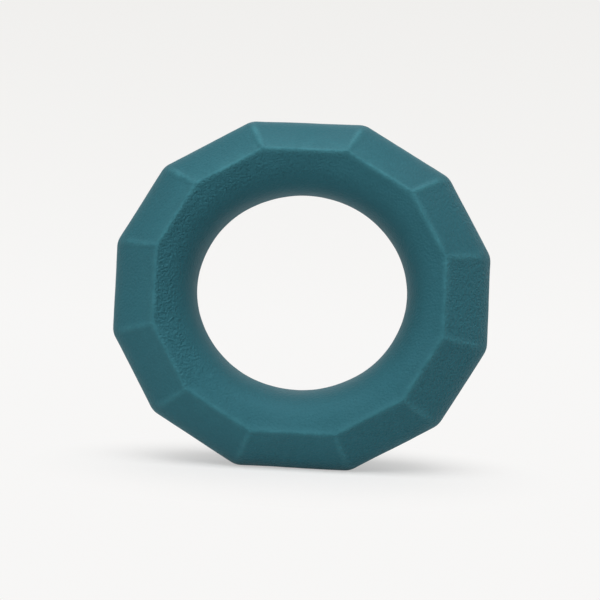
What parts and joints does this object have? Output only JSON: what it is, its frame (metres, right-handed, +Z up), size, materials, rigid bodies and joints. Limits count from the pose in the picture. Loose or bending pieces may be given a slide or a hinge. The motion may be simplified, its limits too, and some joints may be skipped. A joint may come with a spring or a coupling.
{
  "type": "teething ring",
  "caption": "One-piece soft rubber teething ring with flat bevelled facets round the outside, a raised crest and a smooth oval hole, standing upright on its bottom facet.",
  "frame": {"origin": "middle of the bottom facet's flat band, on the surface that the ring stands on", "axes": "+X across the ring's width, +Y along the hole from the front to the back, +Z up"},
  "size_m": [0.08, 0.022, 0.0737],
  "materials": {
    "ring_rubber": "matte teal, fine all-over grain"
  },
  "bodies": {
    "root": {"teether_ring": "ring_rubber"}
  },
  "joints": []
}
